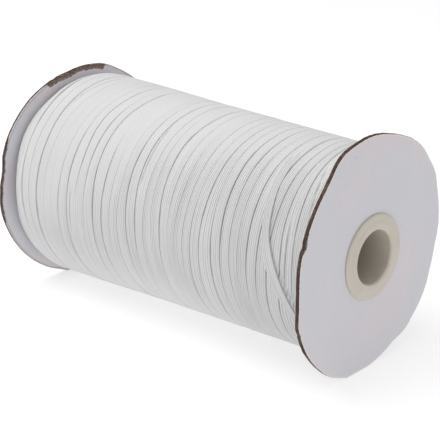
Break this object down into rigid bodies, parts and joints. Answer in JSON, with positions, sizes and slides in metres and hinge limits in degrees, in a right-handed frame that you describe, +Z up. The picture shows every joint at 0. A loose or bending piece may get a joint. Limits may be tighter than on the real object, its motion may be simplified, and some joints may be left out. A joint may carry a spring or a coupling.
{
  "type": "roll of elastic",
  "caption": "Roll of flat white braided elastic wound on a plastic core between two round card flanges, lying on its side.",
  "frame": {"origin": "on the surface the roll lies on, at the bottom centre of its box", "axes": "+X along the roll's axis towards the near card, +Z up, -Y towards the front, where both cards lean outwards"},
  "size_m": [0.164, 0.0948, 0.0925],
  "materials": {
    "elastic": "flat ribbed braid, matt with a faint sheen",
    "card": "white paper face, raw brown edge",
    "core_plastic": "satin moulded"
  },
  "bodies": {
    "root": {"winding": "elastic", "flange_near": "card", "flange_far": "card", "core_tube": "core_plastic", "collar_near": "core_plastic", "collar_far": "core_plastic"}
  },
  "joints": []
}
